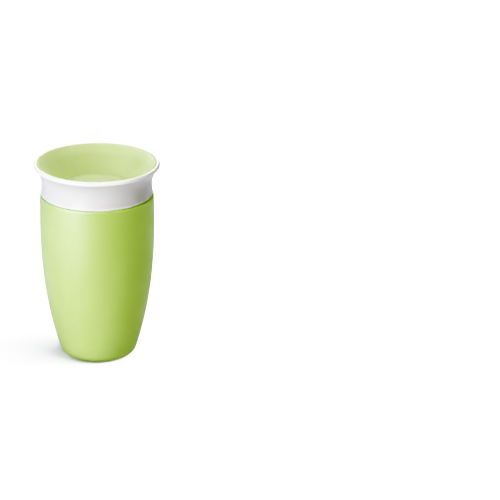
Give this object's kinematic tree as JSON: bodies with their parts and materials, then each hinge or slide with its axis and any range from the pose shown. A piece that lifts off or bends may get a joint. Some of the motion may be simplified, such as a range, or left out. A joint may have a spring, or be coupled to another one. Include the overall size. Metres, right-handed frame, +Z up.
{
  "type": "sippy cup",
  "caption": "Spill-proof toddler cup with a barrel-shaped body, a screw-on ring with a flared drinking lip, and a soft dish valve that seals all round the lip.",
  "frame": {"origin": "centre of the base, on the surface that the cup stands on", "axes": "+Z up the cup's axis of revolution, out of its mouth; +X and +Y are free, with the cup's first thread start at +X"},
  "size_m": [0.084, 0.084, 0.134],
  "materials": {
    "body": "satin",
    "collar": "satin",
    "valve": "matte",
    "seal": "matte"
  },
  "bodies": {
    "cup": {"cup_body": "body"},
    "seal": {"collar_seal": "seal"},
    "collar": {"screw_collar": "collar"},
    "valve": {"sip_valve": "valve"}
  },
  "joints": [
    {"name": "lid_rise", "type": "slide", "parent": "cup", "child": "seal", "axis": [0, 0, 1], "range_m": [0, 0.009]},
    {"name": "lid_turn", "type": "hinge", "parent": "seal", "child": "collar", "pos_m": [0, 0, 0.1201], "axis": [0, 0, 1], "range_deg": [0, 540]},
    {"name": "valve_lift", "type": "slide", "parent": "collar", "child": "valve", "axis": [0, 0, 1], "range_m": [0, 0.03]}
  ],
  "couplings": [
    {"joint": "lid_rise", "follows": "lid_turn", "m_per_rad": 0.00095493}
  ]
}
